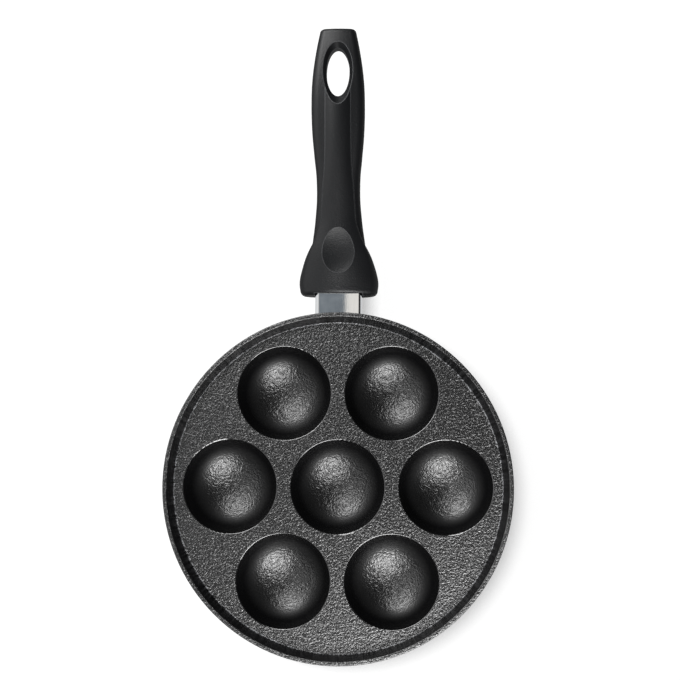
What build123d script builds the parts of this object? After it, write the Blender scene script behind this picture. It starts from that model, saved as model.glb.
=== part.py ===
from build123d import *
import math
import os

# Aebleskiver pan: a cast body with seven round wells, and a moulded grip screwed to its boss
# through a drawn steel sleeve. Millimetres, +Z up. The feet of the wells stand on z = 0, the
# middle of the centre well is on the Z axis, and the handle points along +Y.

# Cast body
rim_radius = 100.0
rim_land = 2.3
rim_band_height = 4.4
rim_band_step = 1.1
rim_round = 0.6
recess_depth = 6.0
recess_wall_run = 3.4
floor_round = 0.6
plate_thickness = 4.0
skirt_draft_run = 4.0
skirt_wall = 3.2
skirt_lift = 5.5
skirt_round = 1.2
underside_round = 3.0

# Wells
ring_well_count = 6
well_pitch = 61.9
well_lip_radius = 26.8
well_depth = 24.0
lip_round = 0.7
well_wall = 3.6
foot_thickness = 4.0
foot_radius = 12.0
bulge_blend = 4.0
blend_bite = 0.3

# Boss that carries the handle. Its reach is measured from the rim.
handle_height = 20.5
boss_width = 25.0
boss_height = 15.6
boss_corner = 1.9
boss_reach = 19.0
boss_root_depth = 9.0

# Threaded insert in the boss
insert_radius = 4.5
insert_length = 12.0
insert_flange_radius = 6.0
insert_flange = 1.4
insert_groove_depth = 0.5
insert_groove_width = 1.6
thread_radius = 2.5
thread_clearance = 0.1
insert_clearance = 0.15
bolt_runout = 3.0

# Drawn sleeve over the boss
sleeve_wall = 0.8
sleeve_clearance = 0.3
sleeve_gap = 0.3
bolt_hole_clearance = 0.4

# Moulded grip. The sleeve shows between the rim and the grip's front face.
sleeve_showing = 10.4
grip_length = 149.6
grip_rise = 28.0
rise_power = 1.2
bell_width = 46.0
bell_depth = 26.6
palm_width = 30.6
palm_depth = 14.6
front_round = 3.0
tip_round = 2.2
socket_clearance = 0.3
notch_depth = 1.1

# Hang hole through the tip of the grip. The near and far ends are those of the upper bevel,
# and the lower bevel has them the other way round, as the grip slopes there.
hang_hole_width = 13.1
hang_hole_length = 27.8
hang_hole_to_tip = 24.6
hang_bevel_side = 2.4
hang_bevel_far_end = 2.4
hang_bevel_near_end = 5.2
hang_bevel_depth = 3.4

# Thumb dimple on the bell, cut by a scoop of oval form that dips in to the dimple's depth
dimple_length = 26.4
dimple_depth = 2.0
dimple_from_front = 25.0
scoop_half_width = 20.3
scoop_half_length = 19.6
scoop_half_height = 8.0

# Fastener under the bell
seat_wall = 13.6
access_radius = 5.4
access_reach = 75.0
flat_washer_radius = 5.0
flat_washer_thickness = 1.0
spring_washer_radius = 4.6
spring_washer_thickness = 1.3
spring_washer_split = 1.2
spring_washer_width = 1.9
bolt_length = 30.0
bolt_tip_chamfer = 0.6
bolt_head_radius = 4.7
bolt_head_height = 3.7
bolt_head_round = 1.6
cross_slot_length = 5.2
cross_slot_width = 1.3
cross_slot_depth = 2.2

# How far cuts run past the faces they open
overrun = 5.0

# Stations of the bell and spine, from the front face to the hang hole. Each row holds the
# place along the grip as a share of grip_length and the width as a share of bell_width. The
# rest are shares of bell_depth: the crown and belly, above and below the middle line, the
# radius of the corners, and the camber, which is how far the crown rises above the corners.
bell_station_shares = (
    (0.000, 0.985, 0.495, 0.495, 0.345, 0.135),
    (0.049, 1.000, 0.505, 0.505, 0.345, 0.140),
    (0.106, 0.920, 0.500, 0.495, 0.300, 0.135),
    (0.160, 0.785, 0.475, 0.435, 0.200, 0.120),
    (0.198, 0.640, 0.450, 0.365, 0.100, 0.115),
    (0.230, 0.545, 0.425, 0.310, 0.050, 0.105),
    (0.284, 0.440, 0.395, 0.240, 0.034, 0.098),
    (0.377, 0.400, 0.365, 0.180, 0.030, 0.092),
    (0.547, 0.318, 0.335, 0.150, 0.026, 0.086),
    (0.700, 0.316, 0.318, 0.150, 0.024, 0.082),
    (0.810, 0.316, 0.302, 0.150, 0.024, 0.078),
)

# Stations of the paddle that the palm holds, from inside the bell to the tip, in the same
# order, as shares of grip_length, palm_width and palm_depth.
palm_station_shares = (
    (0.120, 1.050, 0.420, 0.600, 0.336, 0.054),
    (0.200, 1.000, 0.430, 0.600, 0.344, 0.056),
    (0.245, 0.935, 0.430, 0.590, 0.344, 0.056),
    (0.290, 0.880, 0.430, 0.580, 0.344, 0.056),
    (0.385, 0.814, 0.440, 0.570, 0.352, 0.058),
    (0.440, 0.822, 0.440, 0.565, 0.352, 0.058),
    (0.515, 0.890, 0.440, 0.560, 0.352, 0.058),
    (0.620, 0.978, 0.430, 0.545, 0.344, 0.056),
    (0.700, 1.000, 0.425, 0.530, 0.340, 0.055),
    (0.770, 0.988, 0.420, 0.510, 0.336, 0.054),
    (0.840, 0.930, 0.405, 0.480, 0.324, 0.051),
    (0.915, 0.820, 0.380, 0.430, 0.304, 0.046),
    (1.000, 0.655, 0.330, 0.360, 0.264, 0.036),
)

# Evenly spaced sections that each body of the grip is lofted through
loft_section_count = 24

# Heights and places that follow from the sizes above
rim_height = foot_thickness + well_depth + recess_depth
plate_top = rim_height - recess_depth
plate_bottom = plate_top - plate_thickness
recess_top_radius = rim_radius - rim_land
recess_floor_radius = recess_top_radius - recess_wall_run
band_bottom = rim_height - rim_band_height
skirt_top_radius = rim_radius - rim_band_step
skirt_bottom_radius = skirt_top_radius - skirt_draft_run
well_bottom = plate_top - well_depth
well_sphere = (well_lip_radius**2 + well_depth**2) / (2 * well_depth)
bulge_sphere = well_sphere + well_wall
bulge_centre = math.sqrt(bulge_sphere**2 - foot_radius**2)

boss_end = rim_radius + boss_reach
insert_start = boss_end - insert_length
bolt_bore_radius = thread_radius + bolt_hole_clearance

sleeve_width = boss_width + 2 * sleeve_clearance + 2 * sleeve_wall
sleeve_height = boss_height + 2 * sleeve_clearance + 2 * sleeve_wall
sleeve_corner = boss_corner + sleeve_clearance + sleeve_wall
sleeve_end = boss_end + sleeve_wall

grip_front = rim_radius + sleeve_showing
grip_tip = grip_front + grip_length
seat_face = sleeve_end + seat_wall
spring_washer_face = seat_face + flat_washer_thickness
bolt_head_face = spring_washer_face + spring_washer_thickness


def skirt_radius(height):
    """Radius of the skirt's outer wall at a height."""
    share = (band_bottom - height) / (band_bottom - skirt_lift)
    return skirt_top_radius - skirt_draft_run * share


def across_handle(station, height=handle_height):
    """Plane square to the handle, facing away from the pan."""
    return Plane(origin=(0, station, height), x_dir=(1, 0, 0), z_dir=(0, 1, 0))


def rounded_bar(width, height, corner, start, end):
    """Bar of rounded rectangular section along the handle."""
    section = across_handle(start) * RectangleRounded(width, height, corner)
    return extrude(section, amount=end - start)


def round_bar(radius, start, end):
    """Round bar along the handle's bolt axis."""
    return extrude(across_handle(start) * Circle(radius), amount=end - start)


def ring_well_places():
    """Centres of the wells round the middle one."""
    return PolarLocations(well_pitch, ring_well_count)


def dished_shell():
    """Rim, recessed plate and skirt, turned from one section."""
    corners = [
        (0, plate_bottom),
        (skirt_radius(plate_bottom) - skirt_wall, plate_bottom),
        (skirt_bottom_radius - skirt_wall, skirt_lift),
        (skirt_bottom_radius, skirt_lift),
        (skirt_top_radius, band_bottom),
        (rim_radius, band_bottom + rim_band_step),
        (rim_radius, rim_height),
        (recess_top_radius, rim_height),
        (recess_floor_radius, plate_top),
        (0, plate_top),
    ]
    rounds = [
        0,
        underside_round,
        skirt_round,
        skirt_round,
        rim_round,
        rim_round,
        rim_round,
        rim_round,
        floor_round,
        0,
    ]
    section = make_face(Plane.XZ * FilletPolyline(*corners, radius=rounds, close=True))
    return revolve(section, Axis.Z)


def well_bulge():
    """Outside of one well: flat foot, round bulge and the flare that blends it to the plate."""
    blend_height = plate_bottom + blend_bite - bulge_blend
    blend_reach = bulge_sphere + bulge_blend
    blend_place = math.sqrt(blend_reach**2 - (bulge_centre - blend_height) ** 2)
    join_share = bulge_sphere / blend_reach
    join = (blend_place * join_share, bulge_centre + (blend_height - bulge_centre) * join_share)
    foot_edge = (foot_radius, 0)
    flare_edge = (blend_place, plate_bottom + blend_bite)
    outline = [
        Line((0, 0), foot_edge),
        RadiusArc(foot_edge, join, -bulge_sphere),
        RadiusArc(join, flare_edge, bulge_blend),
        Line(flare_edge, (0, plate_bottom + blend_bite)),
        Line((0, plate_bottom + blend_bite), (0, 0)),
    ]
    return revolve(make_face(Plane.XZ * Curve(outline)), Axis.Z)


def well_hollow():
    """Inside of one well: a round bowl with its lip rounded over to the plate."""
    centre = well_bottom + well_sphere
    lip_height = plate_top - lip_round
    lip_reach = well_sphere + lip_round
    lip_place = math.sqrt(lip_reach**2 - (centre - lip_height) ** 2)
    join_share = well_sphere / lip_reach
    join = (lip_place * join_share, centre + (lip_height - centre) * join_share)
    lip_edge = (lip_place, plate_top)
    mouth_edge = (lip_place, rim_height + overrun)
    outline = [
        RadiusArc((0, well_bottom), join, -well_sphere),
        RadiusArc(join, lip_edge, lip_round),
        Line(lip_edge, mouth_edge),
        Line(mouth_edge, (0, rim_height + overrun)),
        Line((0, rim_height + overrun), (0, well_bottom)),
    ]
    return revolve(make_face(Plane.XZ * Curve(outline)), Axis.Z)


def handle_boss():
    """Boss from inside the skirt to the end that the sleeve covers."""
    root = skirt_radius(handle_height) - skirt_wall - boss_root_depth
    return rounded_bar(boss_width, boss_height, boss_corner, root, boss_end)


def insert_seat():
    """Stepped bore in the end of the boss for the threaded insert and the bolt's tip."""
    bore = round_bar(insert_radius + insert_clearance, insert_start, boss_end)
    bore += round_bar(bolt_bore_radius, insert_start - bolt_runout, boss_end)
    flange = round_bar(
        insert_flange_radius + insert_clearance, boss_end - insert_flange, boss_end + overrun
    )
    return bore + flange


def make_pan_casting():
    """Cast body with all seven wells and the boss, bored for the insert."""
    casting = dished_shell() + well_bulge()
    casting += ring_well_places() * well_bulge()
    casting += handle_boss()
    recess = Pos(0, 0, plate_top) * Cylinder(
        recess_floor_radius, recess_depth, align=(Align.CENTER, Align.CENTER, Align.MIN)
    )
    casting -= recess
    casting -= well_hollow()
    casting -= ring_well_places() * well_hollow()
    return casting - insert_seat()


def make_threaded_insert():
    """Flanged steel insert with two grooves that lock it in the casting."""
    body = round_bar(insert_radius, insert_start, boss_end)
    body += round_bar(insert_flange_radius, boss_end - insert_flange, boss_end)
    for groove_number in (1, 2):
        groove_start = insert_start + groove_number * insert_length / 3 - insert_groove_width
        ring = round_bar(insert_radius + overrun, groove_start, groove_start + insert_groove_width)
        ring -= round_bar(
            insert_radius - insert_groove_depth, groove_start, groove_start + insert_groove_width
        )
        body -= ring
    thread_bore = thread_radius + thread_clearance
    return body - round_bar(thread_bore, insert_start - overrun, boss_end + overrun)


def make_sleeve():
    """Drawn cup over the boss: closed at the grip's end, open and shaped to the skirt."""
    outer = rounded_bar(sleeve_width, sleeve_height, sleeve_corner, 0, sleeve_end)
    inner = rounded_bar(
        boss_width + 2 * sleeve_clearance,
        boss_height + 2 * sleeve_clearance,
        boss_corner + sleeve_clearance,
        0,
        boss_end,
    )
    low = handle_height - sleeve_height
    high = handle_height + sleeve_height
    skirt_corners = [
        (0, low),
        (skirt_radius(low) + sleeve_gap, low),
        (skirt_radius(high) + sleeve_gap, high),
        (0, high),
    ]
    skirt_block = revolve(make_face(Plane.XZ * Polyline(*skirt_corners, close=True)), Axis.Z)
    bolt_hole = round_bar(bolt_bore_radius, boss_end - overrun, sleeve_end + overrun)
    return outer - inner - skirt_block - bolt_hole


def middle_line(along_share):
    """Height of the grip's middle line, which eases up from the sleeve and levels off."""
    return handle_height + grip_rise * math.sin(math.pi / 2 * along_share**rise_power)


def crowned_section(along_share, half_width, crown, belly, corner, camber):
    """Section square to the handle: cambered top and belly, round corners and upright sides."""
    station = grip_front + grip_length * along_share
    middle = middle_line(along_share)
    inner = half_width - corner
    arc_radius = (inner**2 + camber**2 + 2 * corner * camber) / (2 * camber)
    lean = math.asin(inner / (arc_radius - corner))
    join_x = arc_radius * math.sin(lean)
    join_drop = arc_radius - arc_radius * math.cos(lean)
    mid_x = inner + corner * math.sin((lean + math.pi / 2) / 2)
    mid_rise = corner * math.cos((lean + math.pi / 2) / 2)
    top_centre = middle + crown - corner - camber
    low_centre = middle - belly + corner + camber

    def side_edges(side):
        top_join = (side * join_x, station, middle + crown - join_drop)
        top_side = (side * half_width, station, top_centre)
        low_side = (side * half_width, station, low_centre)
        low_join = (side * join_x, station, middle - belly + join_drop)
        return top_join, low_join, [
            ThreePointArc(top_join, (side * mid_x, station, top_centre + mid_rise), top_side),
            Line(top_side, low_side),
            ThreePointArc(low_side, (side * mid_x, station, low_centre - mid_rise), low_join),
        ]

    right_top, right_low, right_edges = side_edges(1)
    left_top, left_low, left_edges = side_edges(-1)
    top_arc = ThreePointArc(left_top, (0, station, middle + crown), right_top)
    low_arc = ThreePointArc(right_low, (0, station, middle - belly), left_low)
    return Face(Wire([top_arc, *right_edges, low_arc, *left_edges]))


def smooth_rate(stations, row, column):
    """Steepness of a smooth curve through one column at a station, level where it turns back."""
    rates = []
    for before, after in ((row - 1, row), (row, row + 1)):
        if 0 <= before and after < len(stations):
            step = stations[after][0] - stations[before][0]
            rates.append((stations[after][column] - stations[before][column]) / step)
    if len(rates) == 1:
        return rates[0]
    if rates[0] * rates[1] <= 0:
        return 0
    return 2 * rates[0] * rates[1] / (rates[0] + rates[1])


def between_stations(stations, along_share):
    """Every share but the place, read from a table of stations at any place along it."""
    row = 0
    while row < len(stations) - 2 and stations[row + 1][0] < along_share:
        row += 1
    step = stations[row + 1][0] - stations[row][0]
    part = (along_share - stations[row][0]) / step
    values = []
    for column in range(1, len(stations[0])):
        start = stations[row][column]
        change = stations[row + 1][column] - start
        leave = smooth_rate(stations, row, column) * step
        arrive = smooth_rate(stations, row + 1, column) * step
        bend = 3 * change - 2 * leave - arrive
        turn = leave + arrive - 2 * change
        values.append(start + leave * part + bend * part**2 + turn * part**3)
    return values


def lofted_body(stations, width, depth):
    """Body through evenly spaced sections of one table."""
    sections = []
    for number in range(loft_section_count):
        part = number / (loft_section_count - 1)
        along_share = stations[0][0] + (stations[-1][0] - stations[0][0]) * part
        width_share, *depth_shares = between_stations(stations, along_share)
        heights = [depth * share for share in depth_shares]
        sections.append(crowned_section(along_share, width / 2 * width_share, *heights))
    return loft(sections)


def end_edges(body, station):
    """Edges of the flat end face of a lofted body."""
    ends = [face for face in body.faces() if abs(face.center().Y - station) < tip_round / 2]
    return ends[0].edges()


def bell_and_spine():
    """Bell round the sleeve, running on as the raised spine along the top of the grip."""
    body = lofted_body(bell_station_shares, bell_width, bell_depth)
    return fillet(end_edges(body, grip_front), front_round)


def palm_paddle():
    """Lower, wider body that gives the palm its width and carries the hang hole."""
    body = lofted_body(palm_station_shares, palm_width, palm_depth)
    return fillet(end_edges(body, grip_tip), tip_round)


def hang_hole():
    """Oval hole through the tip, bevelled at both mouths."""
    place = grip_tip - hang_hole_to_tip
    place_share = (place - grip_front) / grip_length
    middle = middle_line(place_share)
    straight = Ellipse(hang_hole_width / 2, hang_hole_length / 2)
    opening = Pos(0, place, middle - palm_depth) * extrude(straight, amount=2 * palm_depth)
    reach = hang_bevel_depth + overrun
    growth = reach / hang_bevel_depth
    half_width = hang_hole_width / 2 + hang_bevel_side * growth
    half_length = hang_hole_length / 2 + (hang_bevel_far_end + hang_bevel_near_end) / 2 * growth
    shift = (hang_bevel_far_end - hang_bevel_near_end) / 2 * growth
    mouth = Pos(0, shift, reach) * Ellipse(half_width, half_length)
    bevel = loft([Sketch() + straight, mouth], ruled=True)
    crown_share, belly_share = between_stations(palm_station_shares, place_share)[1:3]
    upper = Pos(0, place, middle + palm_depth * crown_share - hang_bevel_depth) * bevel
    lower = Pos(0, place, middle - palm_depth * belly_share + hang_bevel_depth) * Rot(180, 0, 0) * bevel
    return opening + upper + lower


def bell_crown(along_share):
    """Height of the bell's top at a place along the grip."""
    crown_share = between_stations(bell_station_shares, along_share)[1]
    return middle_line(along_share) + bell_depth * crown_share


def thumb_dimple():
    """Shallow oval scoop for the thumb, laid along the slope of the bell's top."""
    front_share = (dimple_from_front - dimple_length / 2) / grip_length
    back_share = (dimple_from_front + dimple_length / 2) / grip_length
    front_height = bell_crown(front_share)
    back_height = bell_crown(back_share)
    tilt = math.degrees(math.atan2(back_height - front_height, dimple_length))
    wider = scoop_half_width / scoop_half_height
    longer = scoop_half_length / scoop_half_height
    scoop = scale(Sphere(scoop_half_height), by=(wider, longer, 1))
    scoop = Pos(0, 0, scoop_half_height - dimple_depth) * scoop
    height = (front_height + back_height) / 2
    return Pos(0, grip_front + dimple_from_front, height) * Rot(tilt, 0, 0) * scoop


def make_grip():
    """Moulded grip: bell, spine and paddle, socketed for the sleeve and bored for the bolt."""
    grip = bell_and_spine() + palm_paddle()
    socket_width = sleeve_width + 2 * socket_clearance
    socket_height = sleeve_height + 2 * socket_clearance
    socket_corner = sleeve_corner + socket_clearance
    grip -= rounded_bar(socket_width, socket_height, socket_corner, grip_front - overrun, sleeve_end)
    notch = Pos(0, grip_front + notch_depth, handle_height) * Box(
        socket_width,
        notch_depth + overrun,
        bell_depth,
        align=(Align.CENTER, Align.MAX, Align.MIN),
    )
    grip -= notch
    grip -= round_bar(bolt_bore_radius, sleeve_end - overrun, seat_face + overrun)
    grip -= round_bar(access_radius, seat_face, grip_front + access_reach)
    grip -= hang_hole()
    grip -= thumb_dimple()
    return grip


def make_flat_washer():
    """Flat washer that spreads the bolt's load on the moulding."""
    disc = round_bar(flat_washer_radius, seat_face, spring_washer_face)
    return disc - round_bar(bolt_bore_radius, seat_face - overrun, spring_washer_face + overrun)


def make_spring_washer():
    """Split spring washer, pressed flat."""
    disc = round_bar(spring_washer_radius, spring_washer_face, bolt_head_face)
    bore = spring_washer_radius - spring_washer_width
    disc -= round_bar(bore, spring_washer_face - overrun, bolt_head_face + overrun)
    split_gap = Pos(0, spring_washer_face, handle_height) * Box(
        spring_washer_split,
        2 * overrun,
        spring_washer_radius + overrun,
        align=(Align.CENTER, Align.CENTER, Align.MIN),
    )
    return disc - split_gap


def make_handle_bolt():
    """Pan-head bolt with a cross recess, from the seat in the grip to the insert."""
    shank = round_bar(thread_radius, bolt_head_face - bolt_length, bolt_head_face)
    tip = shank.edges().sort_by(Axis.Y)[0]
    shank = chamfer(tip, bolt_tip_chamfer)
    head = round_bar(bolt_head_radius, bolt_head_face, bolt_head_face + bolt_head_height)
    crown = head.edges().sort_by(Axis.Y)[-1]
    head = fillet(crown, bolt_head_round)
    bolt = shank + head
    recess_place = Pos(0, bolt_head_face + bolt_head_height, handle_height)
    for width, height in (
        (cross_slot_length, cross_slot_width),
        (cross_slot_width, cross_slot_length),
    ):
        bolt -= recess_place * Box(width, 2 * cross_slot_depth, height)
    return bolt


subparts = {
    "pan_casting": make_pan_casting,
    "threaded_insert": make_threaded_insert,
    "ferrule": make_sleeve,
    "grip": make_grip,
    "flat_washer": make_flat_washer,
    "spring_washer": make_spring_washer,
    "handle_bolt": make_handle_bolt,
}

os.makedirs("parts", exist_ok=True)
for name, make in subparts.items():
    export_step(make(), f"parts/{name}.step")
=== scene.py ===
import math

import bpy
from mathutils import Matrix, Vector

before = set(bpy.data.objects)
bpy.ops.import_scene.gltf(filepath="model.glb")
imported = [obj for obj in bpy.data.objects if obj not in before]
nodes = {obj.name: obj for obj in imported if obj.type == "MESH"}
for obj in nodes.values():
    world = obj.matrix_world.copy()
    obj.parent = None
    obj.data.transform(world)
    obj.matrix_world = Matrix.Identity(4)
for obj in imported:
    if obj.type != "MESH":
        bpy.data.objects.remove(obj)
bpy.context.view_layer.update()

# The pan's body is one aluminium casting: rim, recessed plate, seven bowl-shaped wells, skirt
# and the boss for the handle. It keeps the sandy grain of its mould on the plate and in the
# wells, and is sprayed black with a non-stick coating.
MM = 0.001
casting = nodes["pan_casting"]


def linear(hex_colour):
    """Colour written as sRGB hex, as the linear RGBA that a shader takes."""
    values = [int(hex_colour[i:i + 2], 16) / 255 for i in (1, 3, 5)]
    return tuple(v / 12.92 if v <= 0.04045 else ((v + 0.055) / 1.055) ** 2.4 for v in values) + (1.0,)


def add_node(tree, kind, settings=None, inputs=None, links=None):
    """A shader node with its settings, its socket values and what feeds its sockets."""
    node = tree.nodes.new(kind)
    for name, value in (settings or {}).items():
        setattr(node, name, value)
    for name, value in (inputs or {}).items():
        node.inputs[name].default_value = value
    for name, source in (links or {}).items():
        tree.links.new(source, node.inputs[name])
    return node


def new_material(name):
    """A node material with its output joined to an empty shader, and its object coordinates."""
    material = bpy.data.materials.new(name)
    material.use_nodes = True
    tree = material.node_tree
    tree.nodes.clear()
    shader = add_node(tree, "ShaderNodeBsdfPrincipled")
    add_node(tree, "ShaderNodeOutputMaterial", links={"Surface": shader.outputs["BSDF"]})
    place = add_node(tree, "ShaderNodeTexCoord").outputs["Object"]
    return material, tree, shader, place


def dress(piece, material):
    """Gives a piece its material on all its faces."""
    piece.data.materials.clear()
    piece.data.materials.append(material)
    for face in piece.data.polygons:
        face.material_index = 0


def coated_casting():
    """Sprayed non-stick coating on sand-grained cast aluminium: dark, with broken glints."""
    material, tree, shader, place = new_material("non_stick_coating_on_casting")
    level = add_node(tree, "ShaderNodeSeparateXYZ", links={"Vector": place}).outputs["Z"]
    normal = add_node(tree, "ShaderNodeNewGeometry").outputs["Normal"]
    up = add_node(tree, "ShaderNodeSeparateXYZ", links={"Vector": normal}).outputs["Z"]

    # Where the wells are, and their rounded lips in the plate.
    plate_level = 28.0 * MM
    lip_depth = 1.0 * MM
    sunken = add_node(
        tree, "ShaderNodeMapRange", {"interpolation_type": "SMOOTHSTEP"},
        {"From Min": plate_level - lip_depth, "From Max": plate_level - 3 * lip_depth},
        {"Value": level},
    ).outputs["Result"]
    at_lip = add_node(
        tree, "ShaderNodeMath", {"operation": "COMPARE"},
        {1: plate_level - lip_depth / 2, 2: lip_depth * 0.55}, {0: level},
    ).outputs["Value"]
    lip_slopes = {"From Min": 0.99, "From Max": 0.96}
    turned = add_node(
        tree, "ShaderNodeMapRange", inputs=lip_slopes, links={"Value": up},
    ).outputs["Result"]
    lip = add_node(
        tree, "ShaderNodeMath", {"operation": "MULTIPLY"}, links={0: at_lip, 1: turned},
    ).outputs["Value"]

    # The grain of the sand, with broader wrinkles in the wells. Both are drawn coarser than on
    # the real pan, so that they show at this picture size.
    grain_size = 1.1 * MM
    grain_height = 0.63 * MM
    wrinkle_size = 2.6 * MM
    wrinkle_height = 1.4 * MM
    grain = add_node(
        tree, "ShaderNodeTexNoise",
        inputs={"Scale": 1 / grain_size, "Detail": 2.0, "Roughness": 0.55, "Distortion": 0.5},
        links={"Vector": place},
    ).outputs["Fac"]
    wrinkle = add_node(
        tree, "ShaderNodeTexNoise",
        inputs={"Scale": 1 / wrinkle_size, "Detail": 1.0, "Roughness": 0.5, "Distortion": 1.6},
        links={"Vector": place},
    ).outputs["Fac"]
    sunken_wrinkle = add_node(
        tree, "ShaderNodeMath", {"operation": "MULTIPLY"}, links={0: wrinkle, 1: sunken},
    ).outputs["Value"]
    relief = add_node(
        tree, "ShaderNodeMath", {"operation": "MULTIPLY_ADD"}, {1: wrinkle_height / grain_height},
        {0: sunken_wrinkle, 2: grain},
    ).outputs["Value"]

    # The grain is strong on the plate, softer in the wells, and nearly gone on steep faces and
    # on the lips, which are rubbed smooth.
    grain_slopes = {"From Min": 0.6, "From Max": 0.93}
    steep_grain, plate_grain = 0.03, 0.72
    well_share, lip_share = 0.6, 0.1
    flat = add_node(
        tree, "ShaderNodeMapRange", {"interpolation_type": "SMOOTHSTEP"},
        {**grain_slopes, "To Min": steep_grain, "To Max": plate_grain}, {"Value": up},
    ).outputs["Result"]
    softened = add_node(
        tree, "ShaderNodeMapRange", inputs={"To Min": 1.0, "To Max": well_share},
        links={"Value": sunken},
    ).outputs["Result"]
    off_lip = add_node(
        tree, "ShaderNodeMapRange", inputs={"To Min": 1.0, "To Max": lip_share},
        links={"Value": lip},
    ).outputs["Result"]
    strength = add_node(
        tree, "ShaderNodeMath", {"operation": "MULTIPLY"}, links={0: flat, 1: softened},
    ).outputs["Value"]
    strength = add_node(
        tree, "ShaderNodeMath", {"operation": "MULTIPLY"}, links={0: strength, 1: off_lip},
    ).outputs["Value"]

    # The recess wall is shaded a little steeper than it is, so that it keeps its dark look and
    # doesn't mirror the bright plate.
    wall_foot = 94.2 * MM
    wall_head = 97.6 * MM
    wall_swell = 2.0 * MM
    flattened = add_node(
        tree, "ShaderNodeVectorMath", {"operation": "MULTIPLY"}, {1: (1.0, 1.0, 0.0)}, {0: place},
    ).outputs["Vector"]
    radius = add_node(
        tree, "ShaderNodeVectorMath", {"operation": "LENGTH"}, links={0: flattened},
    ).outputs["Value"]
    swell = add_node(
        tree, "ShaderNodeMapRange",
        inputs={"From Min": wall_foot, "From Max": wall_head, "To Max": wall_swell},
        links={"Value": radius},
    ).outputs["Result"]
    wall_normal = add_node(
        tree, "ShaderNodeBump", inputs={"Distance": 1.0}, links={"Height": swell},
    ).outputs["Normal"]
    bump = add_node(
        tree, "ShaderNodeBump", inputs={"Distance": grain_height},
        links={"Height": relief, "Strength": strength, "Normal": wall_normal},
    ).outputs["Normal"]
    tree.links.new(bump, shader.inputs["Normal"])

    # The coating is satin on the plate, duller in the wells and glossier on the rubbed lips.
    plate_roughness, well_roughness, lip_roughness = 0.29, 0.38, 0.24
    satin = add_node(
        tree, "ShaderNodeMapRange", inputs={"To Min": plate_roughness, "To Max": well_roughness},
        links={"Value": sunken},
    ).outputs["Result"]
    roughness = add_node(
        tree, "ShaderNodeMapRange", inputs={"To Max": lip_roughness},
        links={"Value": lip, "To Min": satin},
    ).outputs["Result"]
    tree.links.new(roughness, shader.inputs["Roughness"])

    # Near black, a little paler on the grain's tops. A thin pale line along the foot of the recess
    # wall, broken by the grain, is a painted highlight that stands in for the glint on the small
    # rounded corner there.
    foot_line = 0.75 * MM
    breakup_range = {"From Min": 0.45, "From Max": 0.6}
    colour = add_node(
        tree, "ShaderNodeMix", {"data_type": "RGBA"},
        {"A": linear("#060607"), "B": linear("#0f0f10")}, {"Factor": grain},
    ).outputs["Result"]
    at_foot = add_node(
        tree, "ShaderNodeMath", {"operation": "COMPARE"},
        {1: wall_foot, 2: foot_line / 2}, {0: radius},
    ).outputs["Value"]
    at_plate = add_node(
        tree, "ShaderNodeMath", {"operation": "COMPARE"},
        {1: plate_level, 2: lip_depth}, {0: level},
    ).outputs["Value"]
    grain_tops = add_node(
        tree, "ShaderNodeMapRange", inputs=breakup_range, links={"Value": grain},
    ).outputs["Result"]
    painted_foot_highlight = add_node(
        tree, "ShaderNodeMath", {"operation": "MULTIPLY"}, links={0: at_foot, 1: at_plate},
    ).outputs["Value"]
    painted_foot_highlight = add_node(
        tree, "ShaderNodeMath", {"operation": "MULTIPLY"}, links={0: painted_foot_highlight, 1: grain_tops},
    ).outputs["Value"]
    # The pale colour of the painted highlight at the wall's foot.
    colour = add_node(
        tree, "ShaderNodeMix", {"data_type": "RGBA"}, {"B": linear("#96979a")},
        {"A": colour, "Factor": painted_foot_highlight},
    ).outputs["Result"]
    tree.links.new(colour, shader.inputs["Base Color"])

    # Steep inner faces have next to no sheen. This is painted shade, which keeps the recess wall and
    # the wells' steep sides dark. The skirt outside, whose faces don't look up, keeps its own.
    shaded_slopes = {"From Min": 0.45, "From Max": 0.75}
    painted_shade_sheen = 0.05
    skirt_slopes = {"From Min": 0.1, "From Max": 0.03}
    sheen = add_node(
        tree, "ShaderNodeMapRange", {"interpolation_type": "SMOOTHSTEP"},
        {**shaded_slopes, "To Min": painted_shade_sheen, "To Max": 1.0}, {"Value": up},
    ).outputs["Result"]
    outside = add_node(
        tree, "ShaderNodeMapRange", inputs=skirt_slopes, links={"Value": up},
    ).outputs["Result"]
    sheen = add_node(
        tree, "ShaderNodeMath", {"operation": "MAXIMUM"}, links={0: sheen, 1: outside},
    ).outputs["Value"]
    tree.links.new(sheen, shader.inputs["Specular Tint"])
    shader.inputs["IOR"].default_value = 1.75
    shader.inputs["Specular IOR Level"].default_value = 1.0
    return material


dress(casting, coated_casting())


# The insert is turned steel with a zinc finish, pressed into the boss and held by its
# grooves. The bolt screws into it.
def zinc_steel():
    """Bright zinc plating on turned steel: a soft grey metal with a faint frosting."""
    frost_size = 0.12 * MM
    frost_height = 0.01 * MM
    material, tree, shader, place = new_material("zinc_plated_steel")
    frost = add_node(
        tree, "ShaderNodeTexNoise", inputs={"Scale": 1 / frost_size, "Detail": 1.0},
        links={"Vector": place},
    ).outputs["Fac"]
    bump = add_node(
        tree, "ShaderNodeBump", inputs={"Distance": frost_height, "Strength": 0.4},
        links={"Height": frost},
    ).outputs["Normal"]
    colour = add_node(
        tree, "ShaderNodeMix", {"data_type": "RGBA"},
        {"A": linear("#a9acae"), "B": linear("#c4c6c8")}, {"Factor": frost},
    ).outputs["Result"]
    tree.links.new(colour, shader.inputs["Base Color"])
    tree.links.new(bump, shader.inputs["Normal"])
    shader.inputs["Metallic"].default_value = 1.0
    shader.inputs["Roughness"].default_value = 0.32
    return material


zinc = zinc_steel()
dress(nodes["threaded_insert"], zinc)


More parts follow.
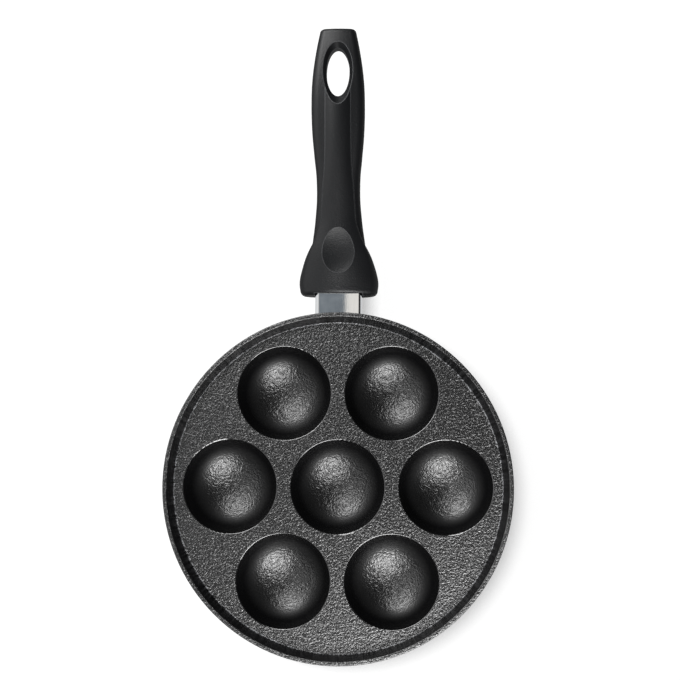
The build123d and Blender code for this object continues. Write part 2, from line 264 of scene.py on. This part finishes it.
# The sleeve is drawn from polished stainless sheet. It slips over the boss and covers the
# gap between the hot pan and the grip.
def polished_stainless():
    """Polished stainless sheet: nearly a mirror, with faint drawing lines along the sleeve."""
    line_width = 0.5 * MM
    line_height = 0.01 * MM
    squeeze_along = (1.0, 0.06, 1.0)
    material, tree, shader, place = new_material("polished_stainless_sheet")
    stretched = add_node(
        tree, "ShaderNodeMapping", inputs={"Scale": squeeze_along}, links={"Vector": place},
    ).outputs["Vector"]
    lines = add_node(
        tree, "ShaderNodeTexNoise", inputs={"Scale": 1 / line_width, "Detail": 2.0},
        links={"Vector": stretched},
    ).outputs["Fac"]
    bump = add_node(
        tree, "ShaderNodeBump", inputs={"Distance": line_height, "Strength": 0.12},
        links={"Height": lines},
    ).outputs["Normal"]
    colour = add_node(
        tree, "ShaderNodeMix", {"data_type": "RGBA"},
        {"A": linear("#d6d8da"), "B": linear("#e4e5e6")}, {"Factor": lines},
    ).outputs["Result"]
    tree.links.new(colour, shader.inputs["Base Color"])
    tree.links.new(bump, shader.inputs["Normal"])
    shader.inputs["Metallic"].default_value = 1.0
    shader.inputs["Roughness"].default_value = 0.03
    return material


dress(nodes["ferrule"], polished_stainless())


# The grip is moulded phenolic with a soft-touch lacquer. It is pushed over the sleeve and
# clamped by the bolt.
def soft_touch_phenolic():
    """Soft-touch lacquer on a phenolic moulding: deep matt black, a fine pebble, painted highlights
    along the edges.
    """
    material, tree, shader, place = new_material("soft_touch_phenolic")

    # The pebble is drawn coarser than the real one, so that it shows at this picture size.
    pebble_size = 0.75 * MM
    pebble_height = 0.12 * MM
    edge_radius = 0.6 * MM
    pebble = add_node(
        tree, "ShaderNodeTexNoise", inputs={"Scale": 1 / pebble_size, "Detail": 2.0},
        links={"Vector": place},
    ).outputs["Fac"]
    rounded = add_node(
        tree, "ShaderNodeBevel", {"samples": 6}, {"Radius": edge_radius},
    ).outputs["Normal"]
    bump = add_node(
        tree, "ShaderNodeBump", inputs={"Distance": pebble_height},
        links={"Height": pebble, "Normal": rounded},
    ).outputs["Normal"]
    tree.links.new(bump, shader.inputs["Normal"])

    # Painted highlights: the lacquer is drawn paler along the edges, found where the rounded normal
    # leaves the face's, standing in for the glint on their rounding.
    edge_turn = {"From Min": 0.997, "From Max": 0.975}
    lacquer = add_node(
        tree, "ShaderNodeMix", {"data_type": "RGBA"},
        {"A": linear("#0b0c0e"), "B": linear("#141517")}, {"Factor": pebble},
    ).outputs["Result"]
    facing = add_node(tree, "ShaderNodeNewGeometry").outputs["Normal"]
    agreement = add_node(
        tree, "ShaderNodeVectorMath", {"operation": "DOT_PRODUCT"}, links={0: facing, 1: rounded},
    ).outputs["Value"]
    painted_edge_highlight = add_node(
        tree, "ShaderNodeMapRange", inputs=edge_turn, links={"Value": agreement},
    ).outputs["Result"]
    colour = add_node(
        tree, "ShaderNodeMix", {"data_type": "RGBA"}, {"B": linear("#4c4d4f")},
        {"A": lacquer, "Factor": painted_edge_highlight},
    ).outputs["Result"]
    tree.links.new(colour, shader.inputs["Base Color"])
    shader.inputs["Roughness"].default_value = 0.4
    shader.inputs["Specular IOR Level"].default_value = 0.42
    return material


dress(nodes["grip"], soft_touch_phenolic())


# Two washers and the pan-head bolt clamp the grip and the sleeve to the boss. They are
# zinc plated steel, as the insert is.
for name in ("flat_washer", "spring_washer", "handle_bolt"):
    dress(nodes[name], zinc)


# The pan stands on a white table sheet that fills the picture. It is white to the camera but
# for the pan's shadow, white in the polished sleeve, and dull to the rest of the pan.
floor_half = 1.5
bpy.ops.object.select_all(action="DESELECT")
bpy.ops.mesh.primitive_plane_add(size=2 * floor_half)
floor = bpy.context.object
floor.name = "table_sheet"


def white_paper():
    """Matt white paper: it shows no grain, only the pan's shadow."""
    camera_glow = 0.42
    mirrored_glow = 0.55
    material = bpy.data.materials.new("matt_white_paper")
    material.use_nodes = True
    tree = material.node_tree
    tree.nodes.clear()
    path = add_node(tree, "ShaderNodeLightPath").outputs
    seen = path["Is Camera Ray"]
    mirrored = add_node(
        tree, "ShaderNodeMath", {"operation": "MULTIPLY"}, {1: mirrored_glow},
        {0: path["Is Glossy Ray"]},
    ).outputs["Value"]
    glow = add_node(
        tree, "ShaderNodeMath", {"operation": "MULTIPLY_ADD"}, {1: camera_glow},
        {0: seen, 2: mirrored},
    ).outputs["Value"]
    colour = add_node(
        tree, "ShaderNodeMix", {"data_type": "RGBA"},
        {"A": linear("#8c8c8c"), "B": linear("#d8d8d8")}, {"Factor": seen},
    ).outputs["Result"]
    paper = add_node(tree, "ShaderNodeBsdfDiffuse", links={"Color": colour})
    shine = add_node(tree, "ShaderNodeEmission", links={"Strength": glow})
    both = add_node(
        tree, "ShaderNodeAddShader", links={0: paper.outputs["BSDF"], 1: shine.outputs["Emission"]},
    )
    add_node(tree, "ShaderNodeOutputMaterial", links={"Surface": both.outputs["Shader"]})
    return material


dress(floor, white_paper())


# Two softboxes light the pan but not its sleeve, one low beyond the grip at the left and one
# low before the pan at the right. A broad, high sun from the far left draws the pan's short
# soft shadow on the table.
def softbox(name, azimuth, elevation, distance, width, height, power):
    """An area lamp that looks at the pan from a compass angle and a height angle."""
    lamp = bpy.data.lights.new(name, "AREA")
    lamp.shape = "RECTANGLE"
    lamp.size = width
    lamp.size_y = height
    lamp.energy = power
    box = bpy.data.objects.new(name, lamp)
    bpy.context.scene.collection.objects.link(box)
    flat = math.cos(math.radians(elevation)) * distance
    box.location = (
        flat * math.sin(math.radians(azimuth)),
        flat * math.cos(math.radians(azimuth)),
        math.sin(math.radians(elevation)) * distance,
    )
    toward_handle = Vector((0, 0.03, 0))
    box.rotation_euler = (toward_handle - box.location).to_track_quat("-Z", "Y").to_euler()
    return box


def only(name, pieces):
    """A collection that tells a lamp which pieces it lights or is blocked by."""
    group = bpy.data.collections.new(name)
    for piece in pieces:
        group.objects.link(piece)
    return group


far_box = softbox(
    "softbox_far", azimuth=-25, elevation=37, distance=0.65, width=0.43, height=0.35, power=2.6,
)
near_box = softbox(
    "softbox_near", azimuth=160, elevation=41, distance=0.55, width=0.38, height=0.29, power=3.25,
)
lit_product = only("lit_product", [piece for piece in nodes.values() if piece != nodes["ferrule"]])
for box in (far_box, near_box):
    box.light_linking.receiver_collection = lit_product

sun_strength = 2.5
sun_spread = math.radians(25.8)
sun_direction = Vector((0.1688, -0.1688, -1.0))
sun = bpy.data.lights.new("table_sun", "SUN")
sun.energy = sun_strength
sun.angle = sun_spread
table_sun = bpy.data.objects.new("table_sun", sun)
bpy.context.scene.collection.objects.link(table_sun)
table_sun.rotation_euler = sun_direction.to_track_quat("-Z", "Y").to_euler()
table_sun.light_linking.receiver_collection = only("lit_table", [floor])
table_sun.light_linking.blocker_collection = only("shading_table", [casting, nodes["ferrule"]])


# A small softbox high over the near side of the pan lights only the grip, so that its broad
# end and the dimple stand out from its dark right side.
grip_box = softbox(
    "softbox_for_grip", azimuth=-165, elevation=68, distance=0.46, width=0.25, height=0.25, power=0.8,
)
grip_box.light_linking.receiver_collection = only("lit_grip", [nodes["grip"]])


# A blue-grey card and a white one hang high over the sleeve, softly clouded. They and the
# table's glow reach only the sleeve, whose polished top and sides mirror them.
card_height = 1.2
card_middle = 0.2
card_length = 0.3
cloud_size = 7 * MM
mirrored = only("mirroring_sleeve", [nodes["ferrule"]])
floor.light_linking.receiver_collection = mirrored
for name, left, right, dark_colour, pale_colour in (
    ("blue_card", -0.4, -0.037, "#4c5660", "#a6acb0"),
    ("white_card", -0.040, 1.0, "#f6f1ea", "#fffcf6"),
):
    bpy.ops.object.select_all(action="DESELECT")
    bpy.ops.mesh.primitive_plane_add(size=1)
    card = bpy.context.object
    card.name = name
    card.data.transform(
        Matrix.Translation(((left + right) / 2, card_middle, card_height))
        @ Matrix.Diagonal((right - left, card_length, 1, 1))
    )
    glowing = bpy.data.materials.new(name)
    glowing.use_nodes = True
    tree = glowing.node_tree
    tree.nodes.clear()
    place = add_node(tree, "ShaderNodeTexCoord").outputs["Object"]
    cloud = add_node(
        tree, "ShaderNodeTexNoise", inputs={"Scale": 1 / cloud_size, "Detail": 3.0},
        links={"Vector": place},
    ).outputs["Fac"]
    tone = add_node(
        tree, "ShaderNodeMix", {"data_type": "RGBA"},
        {"A": linear(dark_colour), "B": linear(pale_colour)}, {"Factor": cloud},
    ).outputs["Result"]
    shine = add_node(tree, "ShaderNodeEmission", links={"Color": tone})
    add_node(tree, "ShaderNodeOutputMaterial", links={"Surface": shine.outputs["Emission"]})
    dress(card, glowing)
    card.light_linking.receiver_collection = mirrored


# The room round the pan is plain white to the camera. To the pan it is dim, with one broad
# low window at the left, which the black coating and the sleeve mirror.
window_direction = (-0.95, 0.2, 0.15)
dim_room, bright_window = 0.05, 1.0
window_edge, window_middle = 0.25, 1.0
world = bpy.data.worlds.new("studio")
bpy.context.scene.world = world
world.use_nodes = True
tree = world.node_tree
tree.nodes.clear()
seen = add_node(tree, "ShaderNodeLightPath").outputs["Is Camera Ray"]
direction = add_node(tree, "ShaderNodeTexCoord").outputs["Generated"]
toward_window = add_node(
    tree, "ShaderNodeVectorMath", {"operation": "DOT_PRODUCT"}, {1: window_direction},
    {0: direction},
).outputs["Value"]
lit = add_node(
    tree, "ShaderNodeMapRange", {"interpolation_type": "SMOOTHSTEP"},
    {
        "From Min": window_edge, "From Max": window_middle,
        "To Min": dim_room, "To Max": bright_window,
    },
    {"Value": toward_window},
).outputs["Result"]
strength = add_node(
    tree, "ShaderNodeMath", {"operation": "MAXIMUM"}, links={0: lit, 1: seen},
).outputs["Value"]
sky = add_node(tree, "ShaderNodeBackground", links={"Strength": strength})
sky.inputs["Color"].default_value = linear("#ffffff")
add_node(tree, "ShaderNodeOutputWorld", links={"Surface": sky.outputs["Background"]})


# The camera looks down from above the pan, leaning a little to the near side and the right.
# Its distance is a guess, and its scale, tilts and offset fit the photo at the rim's level.
camera_distance = 0.7
camera_tilts = (math.radians(-3.96), math.radians(-2.37), math.radians(-0.12))
camera_offset = (-1.66 * MM, -83.77 * MM)
rim_level = 34.0 * MM
pixels_per_metre = 1762.4
picture_size = 680
turn = (
    Matrix.Rotation(camera_tilts[2], 3, "Z")
    @ Matrix.Rotation(camera_tilts[1], 3, "Y")
    @ Matrix.Rotation(camera_tilts[0], 3, "X")
).transposed()
lens = bpy.data.cameras.new("photo_camera")
lens.sensor_width = 36.0
lens.lens = pixels_per_metre * camera_distance / picture_size * lens.sensor_width
camera = bpy.data.objects.new("photo_camera", lens)
bpy.context.scene.collection.objects.link(camera)
camera.matrix_world = Matrix.Translation(
    Vector((0, 0, rim_level))
    + turn @ Vector((-camera_offset[0], -camera_offset[1], camera_distance))
) @ turn.to_4x4()
bpy.context.scene.camera = camera
bpy.context.scene.view_settings.view_transform = "Standard"
